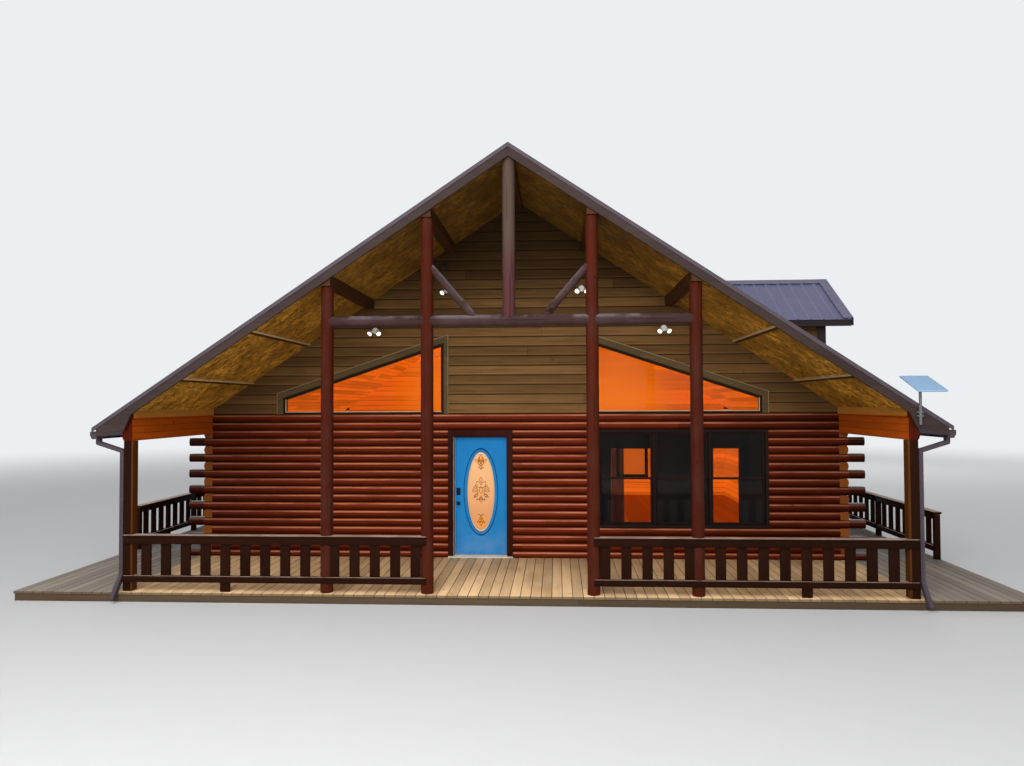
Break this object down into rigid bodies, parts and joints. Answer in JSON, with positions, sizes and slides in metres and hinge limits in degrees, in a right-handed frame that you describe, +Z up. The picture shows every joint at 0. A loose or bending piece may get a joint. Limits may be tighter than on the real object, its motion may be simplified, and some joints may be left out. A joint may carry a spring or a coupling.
{
  "type": "log cabin",
  "caption": "Log cabin with a gabled front porch on round posts, ribbed metal roof, a dormer, log walls, wooden decks with railings, and a hinged front door.",
  "frame": {"origin": "on the ground, at the centre of the whole footprint", "axes": "+X to the right as you face the front door, +Y from the porch to the back, +Z up"},
  "size_m": [14.2, 12.5846, 6.4293],
  "materials": {
    "logs": "glossy stained logs",
    "siding": "stained lap siding, satin",
    "trim_wood": "dark stain, satin",
    "post_wood": "varnished round logs",
    "beam_wood": "varnished pine",
    "soffit_board": "flake board with a clear coat",
    "roof_metal": "satin grey-purple paint",
    "roof_trim_metal": "satin paint",
    "fascia_wood": "solid stain, satin",
    "gutter_metal": "satin paint",
    "porch_decking": "worn clear sealer",
    "grey_decking": "weathered grey",
    "rail_wood": "dark stain",
    "door_paint": "satin blue paint",
    "ornament_glass": "frosted and bevelled",
    "lock_metal": "satin",
    "window_pane": "clear, dark room behind",
    "dish_metal": "matt grey paint",
    "light_body": "white, satin",
    "floor_board": "satin",
    "concrete": "plain concrete"
  },
  "bodies": {
    "house": {"front_wall_left": "logs", "front_wall_middle": "logs", "front_wall_over_openings": "logs", "front_wall_right": "logs", "front_wall_under_window": "logs", "left_wall": "logs", "right_wall": "logs", "back_wall": "logs", "front_gable": "siding", "back_gable": "siding", "dormer_front_wall": "siding", "dormer_side_walls": "siding", "front_window": "trim_wood", "gable_windows": "trim_wood", "side_windows": "trim_wood", "door_frame": "trim_wood", "porch_posts": "post_wood", "tie_beam": "post_wood", "braces": "post_wood", "purlins": "beam_wood", "header_beams": "beam_wood", "corner_posts": "beam_wood", "porch_soffit": "soffit_board", "roof_left": "roof_metal", "roof_right": "roof_metal", "dormer_roof": "roof_metal", "roof_trim": "roof_trim_metal", "dormer_trim": "roof_trim_metal", "fascia_boards": "fascia_wood", "gutters": "gutter_metal", "downspouts": "gutter_metal", "porch_deck": "porch_decking", "side_decks": "grey_decking", "porch_rails": "rail_wood", "side_rails": "rail_wood", "frame_hinges": "lock_metal", "window_glass": "window_pane", "dish": "dish_metal", "wall_fixtures": "light_body", "floor": "floor_board", "foundation": "concrete"},
    "front_door": {"door": "door_paint", "door_glass": "ornament_glass", "door_lock": "lock_metal", "door_hinges": "lock_metal"}
  },
  "joints": [
    {"name": "front_door_hinge", "type": "hinge", "parent": "house", "child": "front_door", "pos_m": [-0.203, -3.14168, 1.2], "axis": [0, 0, -1], "range_deg": [0, 100]}
  ]
}
